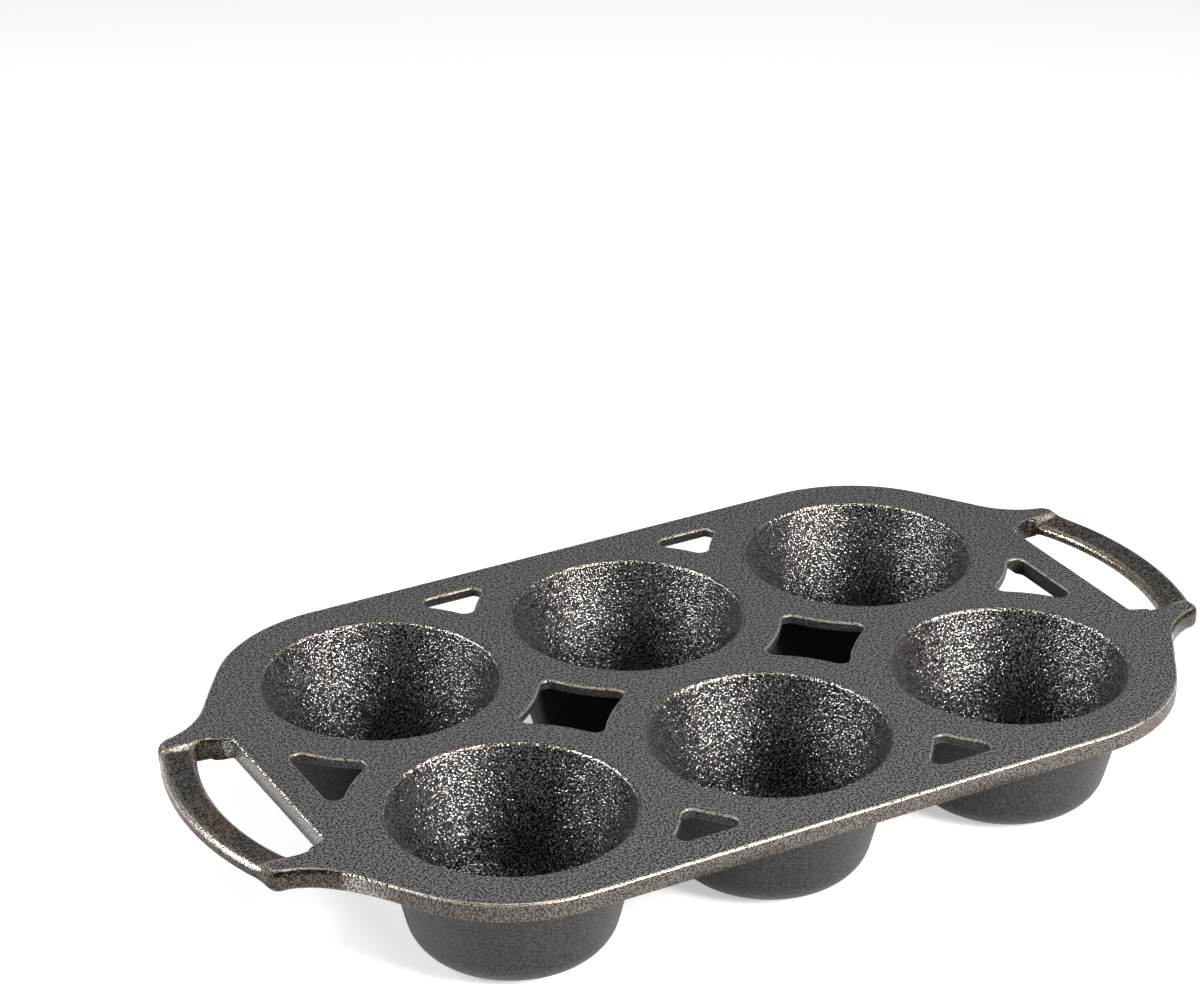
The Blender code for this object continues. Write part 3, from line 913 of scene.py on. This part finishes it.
def casting_colour(iron, on, speck, grain, cloud):
    stain = 0.6 * cloud.rise(0.48, 0.62) * on.browned
    tone = iron.blend(on.rim, (0.050, 0.049, 0.049), (0.150, 0.135, 0.120))
    for share, colour in [(on.top, (0.205, 0.205, 0.210)),
                          (on.bar, (0.100, 0.094, 0.088)),
                          (on.bare, (0.100, 0.085, 0.072)),
                          (on.grip, (0.400, 0.350, 0.295)),
                          (on.bare * (1 - on.beside), (0.360, 0.340, 0.320)),
                          (stain, (0.150, 0.116, 0.090)),
                          (on.held, (0.520, 0.465, 0.390)),
                          (on.cup, (0.350, 0.343, 0.340)),
                          # the cups' floors are darkened here as painted shade at the bottom of
                          # each cup
                          (on.floor_shade, (0.090, 0.088, 0.088))]:
        tone = iron.blend(share, tone, colour)
    darkness = 0.88 + 0.09 * on.cup.at_least(on.top) - 0.38 * on.held
    dark = iron.blend(darkness, tone, (0.006, 0.005, 0.005))
    grains = (speck + (grain - speck) * on.top - 0.04 * on.cup).rise(0.43, 0.57)
    colour = iron.blend(grains, dark, tone)
    return iron.blend(on.worn * speck.rise(0.28, 0.50), colour, (0.800, 0.740, 0.640))


def casting(name):
    material, iron = new_finish(name)
    place = iron.node("ShaderNodeTexCoord", output="Object")
    on = Masks(iron, place)
    speck = iron.noise(place, SPECK, detail=0.0)
    grain = iron.noise(place, GRAIN, detail=1.0)
    lump = iron.noise(place, LUMP, detail=2.0)
    cloud = iron.noise(place, CLOUD, detail=4.0, roughness=0.6)

    metal = 0.20 + 0.15 * on.top + 0.60 * on.cup.at_least(on.bare)
    metal = metal + (0.97 - metal) * on.worn
    roughness = 0.44 + 0.08 * on.top - 0.22 * on.cup - 0.20 * on.bare - 0.10 * on.worn
    roughness = roughness + 0.08 * (cloud - 0.5)
    arms = on.bare * (1 - on.bar)
    height = speck * (0.00012 + 0.00012 * on.cup + 0.00008 * arms)
    height = height + grain * (0.00014 + 0.00018 * on.cup + 0.00016 * arms)
    height = height + lump * 0.00015
    normal = iron.node("ShaderNodeBump", inputs={
        "Strength": 1.0, "Distance": 1.0, "Height": height})
    skin = iron.node("ShaderNodeBsdfPrincipled", inputs={
        "Base Color": casting_colour(iron, on, speck, grain, cloud), "Roughness": roughness,
        "Metallic": metal, "Specular IOR Level": 0.35, "Normal": normal})
    # a near-black sheet mixed in where the cups face each other under the deck: painted shade
    shade_sheet = iron.node("ShaderNodeBsdfDiffuse", inputs={"Color": (0.004, 0.004, 0.004)})
    shader = iron.node("ShaderNodeMixShader", inputs={0: 0.9 * on.in_shade, 1: skin, 2: shade_sheet})
    iron.finish_with(shader)
    print(name, "has", len(material.node_tree.nodes), "nodes")
    return material


for slot, pieces in [("deck_iron", [deck]), ("handle_iron", [handle_left, handle_right]),
                     ("cup_iron", cups)]:
    material = casting(slot + "_cast")
    for piece in pieces:
        piece.data.materials.append(material)

# %% [markdown]
# ## The floor
# The pan stands on a pale floor that keeps its soft shadow. A plain white sheet would look grey
# between the lamps, and a brighter one would throw light up at the cups. So the floor glows a
# little, but only for the camera and for mirror-like rays, and lights the pan no more for it.

# %% The floor
FLOOR_REACH = 4.0           # from the middle of the floor to each side


def seen_directly(finish):
    """1 for rays from the camera, and for mirrored and passing rays, and 0 for light."""
    rays = [finish.node("ShaderNodeLightPath", output=name)
            for name in ("Is Camera Ray", "Is Glossy Ray", "Is Transmission Ray")]
    return rays[0].at_least(rays[1]).at_least(rays[2])


def make_floor():
    shape = bmesh.new()
    bmesh.ops.create_grid(shape, x_segments=1, y_segments=1, size=FLOOR_REACH)
    mesh = bpy.data.meshes.new("floor")
    shape.to_mesh(mesh)
    shape.free()
    floor = bpy.data.objects.new("floor", mesh)
    bpy.context.scene.collection.objects.link(floor)
    floor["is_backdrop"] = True
    material, paint = new_finish("floor_paint")
    shader = paint.node("ShaderNodeBsdfPrincipled", inputs={
        "Base Color": (0.80, 0.80, 0.80), "Roughness": 0.9, "Specular IOR Level": 0.0,
        "Emission Color": (1.0, 1.0, 1.0), "Emission Strength": seen_directly(paint) * 0.50})
    paint.finish_with(shader)
    mesh.materials.append(material)
    print("floor:", [round(value, 2) for value in floor.dimensions])


make_floor()

# %% [markdown]
# ## The background
# Behind the pan the studio is white too. The world could light the scene evenly, but even light
# makes iron look like paper. So it is white only where it is looked at, low round the horizon, and
# dark overhead, where the deck and the cups would mirror it.

# %% The world
def make_world():
    world = bpy.data.worlds.new("studio")
    bpy.context.scene.world = world
    world.use_nodes = True
    air = Finish(world.node_tree, "ShaderNodeOutputWorld")
    height = air.axis(air.node("ShaderNodeTexCoord", output="Generated"), "Z")
    overhead = height.rise(0.02, 0.14)
    strength = 0.03 + seen_directly(air) * 0.97 * (1 - overhead)
    air.finish_with(air.node("ShaderNodeBackground", inputs={
        "Color": (1.0, 1.0, 1.0), "Strength": strength}))
    print("world has", len(world.node_tree.nodes), "nodes")


make_world()
bpy.context.scene.view_settings.view_transform = "Standard"

# %% [markdown]
# ## The lamps
# Iron shows its shape by what it mirrors. Small lamps would leave hard sparks, so these are soft
# boxes. One to the right and one at the back left draw the broad streaks in the cups, and a large
# one overhead lights the deck and draws the bright line along its front edge.

# %% The lamps
MIDDLE = Vector((0, 0, 0.03))  # the point of the pan that they are aimed at


def soft_box(name, turn, rise, distance, width, height, power, colour):
    """A soft box aimed at the pan; turn and rise are the direction to it, in degrees."""
    turn, rise = math.radians(turn), math.radians(rise)
    level = math.cos(rise)
    way = Vector((level * math.cos(turn), level * math.sin(turn), math.sin(rise)))
    lamp = bpy.data.lights.new(name, "AREA")
    lamp.shape = "RECTANGLE"
    lamp.size = width
    lamp.size_y = height
    lamp.energy = power
    lamp.color = colour
    holder = bpy.data.objects.new(name, lamp)
    aimed = way.to_track_quat("Z", "Y").to_matrix().to_4x4()
    holder.matrix_world = Matrix.Translation(MIDDLE + way * distance) @ aimed
    bpy.context.scene.collection.objects.link(holder)
    print(name, "at", [round(value, 2) for value in holder.matrix_world.translation])


# name, turn, rise, distance, width and height in metres, power in watts, colour
soft_box("right_box", -66.5, 26, 1.2, 0.32, 0.42, 22.0, (1.0, 0.95, 0.92))
soft_box("left_box", 158, 28, 1.2, 0.44, 0.42, 13.0, (0.98, 0.98, 1.0))
soft_box("top_box", 30, 72, 1.4, 0.50, 0.50, 6.0, (1.0, 0.97, 0.92))

# %% [markdown]
# ## The camera
# The view is from the front left and above, through a long lens, as in the photograph. Its place
# and aim were worked out from the rims of the six cups, so they are kept as numbers.

# %% The camera
CAMERA_TURN = -0.502845     # to the left of straight ahead, in radians
CAMERA_RISE = 0.455716      # above the horizon
CAMERA_ROLL = -0.0042059    # about the line of sight
CAMERA_PLACE = (-0.548031, -0.926259, TOP + 0.598389)
LENS = 103.918              # focal length in millimetres
SENSOR = 36.0               # width of the picture behind it, in millimetres


def make_camera():
    turn, rise, roll = CAMERA_TURN, CAMERA_RISE, CAMERA_ROLL
    level = math.cos(rise)
    back = Vector((math.sin(turn) * level, -math.cos(turn) * level, math.sin(rise)))
    right_way = Vector((0, 0, 1)).cross(back).normalized()
    up_way = back.cross(right_way)
    tilted_right = math.cos(roll) * right_way + math.sin(roll) * up_way
    tilted_up = math.cos(roll) * up_way - math.sin(roll) * right_way
    lens = bpy.data.cameras.new("view")
    lens.sensor_fit = "HORIZONTAL"
    lens.sensor_width = SENSOR
    lens.lens = LENS
    camera = bpy.data.objects.new("view", lens)
    turned = Matrix((tilted_right, tilted_up, back)).transposed().to_4x4()
    camera.matrix_world = Matrix.Translation(CAMERA_PLACE) @ turned
    bpy.context.scene.collection.objects.link(camera)
    bpy.context.scene.camera = camera
    print("camera at", [round(value, 2) for value in camera.matrix_world.translation])


make_camera()

# %% [markdown]
# ## The size
# The skin has to fill the frame's box and stay inside it, so both boxes are kept.

# %% Keeping the sizes
def plain(box):
    return [[round(value, 6) for value in corner] for corner in box]


sizes = {"cad": plain(cad_box), "visual": plain(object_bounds())}
print(sizes)
